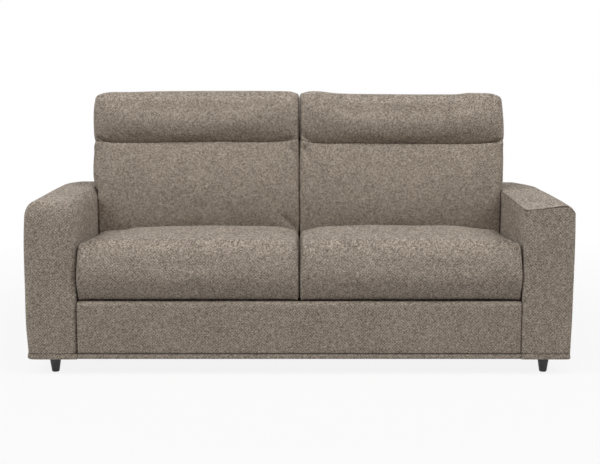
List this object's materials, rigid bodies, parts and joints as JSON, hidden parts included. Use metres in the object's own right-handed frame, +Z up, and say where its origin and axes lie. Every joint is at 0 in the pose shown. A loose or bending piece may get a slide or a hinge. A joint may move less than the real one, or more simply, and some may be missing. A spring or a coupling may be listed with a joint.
{
  "type": "sleeper sofa with fold-out bed",
  "caption": "Upholstered sleeper sofa with flat padded arms, split seat and back cushions with stitched headrests, and a frame that rolls forward and unfolds into a bed.",
  "frame": {"origin": "on the floor under the middle of the sofa", "axes": "+X to the right as seen from the front, +Y to the rear, +Z up; the sofa faces -Y"},
  "size_m": [2, 0.97, 1.0218],
  "materials": {
    "sofa_fabric": "mottled warm grey woven upholstery fabric",
    "mattress_ticking": "off-white mattress cover",
    "painted_steel": "satin dark grey powder coat",
    "zinc_steel": "zinc plated",
    "plywood": "raw plywood",
    "dark_plastic": "dark charcoal moulded plastic"
  },
  "bodies": {
    "root": {"front_panel": "sofa_fabric", "front_panel_board": "plywood", "rear_panel": "sofa_fabric", "rear_panel_board": "plywood", "left_arm": "sofa_fabric", "right_arm": "sofa_fabric", "left_arm_board": "plywood", "right_arm_board": "plywood", "left_mechanism_plate": "zinc_steel", "right_mechanism_plate": "zinc_steel", "left_front_plate_bolt": "zinc_steel", "right_front_plate_bolt": "zinc_steel", "left_rear_plate_bolt": "zinc_steel", "right_rear_plate_bolt": "zinc_steel", "front_left_leg": "dark_plastic", "front_right_leg": "dark_plastic", "rear_left_leg": "dark_plastic", "rear_right_leg": "dark_plastic"},
    "front_links": {"left_front_link": "zinc_steel", "right_front_link": "zinc_steel"},
    "rear_links": {"left_rear_link": "zinc_steel", "right_rear_link": "zinc_steel"},
    "head_section": {"head_front_tube": "painted_steel", "head_rear_tube": "painted_steel", "head_wire_deck": "zinc_steel", "head_mattress": "mattress_ticking", "left_head_rail": "painted_steel", "right_head_rail": "painted_steel", "left_seat_hinge_pin": "zinc_steel", "right_seat_hinge_pin": "zinc_steel"},
    "seat_section": {"seat_front_tube": "painted_steel", "seat_rear_tube": "painted_steel", "seat_wire_deck": "zinc_steel", "seat_mattress": "mattress_ticking", "left_seat_rail": "painted_steel", "right_seat_rail": "painted_steel", "left_back_hinge_pin": "zinc_steel", "right_back_hinge_pin": "zinc_steel", "left_seat_cushion": "sofa_fabric", "right_seat_cushion": "sofa_fabric"},
    "back_section": {"back_lower_tube": "painted_steel", "back_upper_tube": "painted_steel", "back_wire_deck": "zinc_steel", "back_mattress": "mattress_ticking", "left_back_rail": "painted_steel", "right_back_rail": "painted_steel", "left_middle_leg": "painted_steel", "right_middle_leg": "painted_steel", "left_middle_glide": "dark_plastic", "right_middle_glide": "dark_plastic", "left_back_cushion": "sofa_fabric", "right_back_cushion": "sofa_fabric"},
    "foot_legs": {"foot_leg_axle": "zinc_steel", "left_foot_leg": "painted_steel", "right_foot_leg": "painted_steel", "left_foot_glide": "dark_plastic", "right_foot_glide": "dark_plastic"}
  },
  "joints": [
    {"name": "front_swing", "type": "hinge", "parent": "root", "child": "front_links", "pos_m": [0, -0.3795, 0.162], "axis": [1, 0, 0], "range_deg": [0, 130.6]},
    {"name": "rear_swing", "type": "hinge", "parent": "root", "child": "rear_links", "pos_m": [0, -0.0795, 0.162], "axis": [1, 0, 0], "range_deg": [0, 130.6]},
    {"name": "head_level", "type": "hinge", "parent": "front_links", "child": "head_section", "pos_m": [0, -0.24025, 0.074], "axis": [1, 0, 0], "range_deg": [-130.6, 0]},
    {"name": "seat_fold", "type": "hinge", "parent": "head_section", "child": "seat_section", "pos_m": [0, -0.395, 0.168], "axis": [1, 0, 0], "range_deg": [0, 180]},
    {"name": "back_unfold", "type": "hinge", "parent": "seat_section", "child": "back_section", "pos_m": [0, 0.3425, 0.2515], "axis": [1, 0, 0], "range_deg": [-90, 0]},
    {"name": "foot_leg_drop", "type": "hinge", "parent": "back_section", "child": "foot_legs", "pos_m": [0, 0.3305, 0.643], "axis": [1, 0, 0], "range_deg": [0, 90]}
  ],
  "couplings": [
    {"joint": "front_swing", "follows": "seat_fold", "ratio": 0.72546},
    {"joint": "rear_swing", "follows": "seat_fold", "ratio": 0.72546},
    {"joint": "head_level", "follows": "seat_fold", "ratio": -0.72546},
    {"joint": "back_unfold", "follows": "seat_fold", "ratio": -0.5},
    {"joint": "foot_leg_drop", "follows": "seat_fold", "ratio": 0.5}
  ]
}
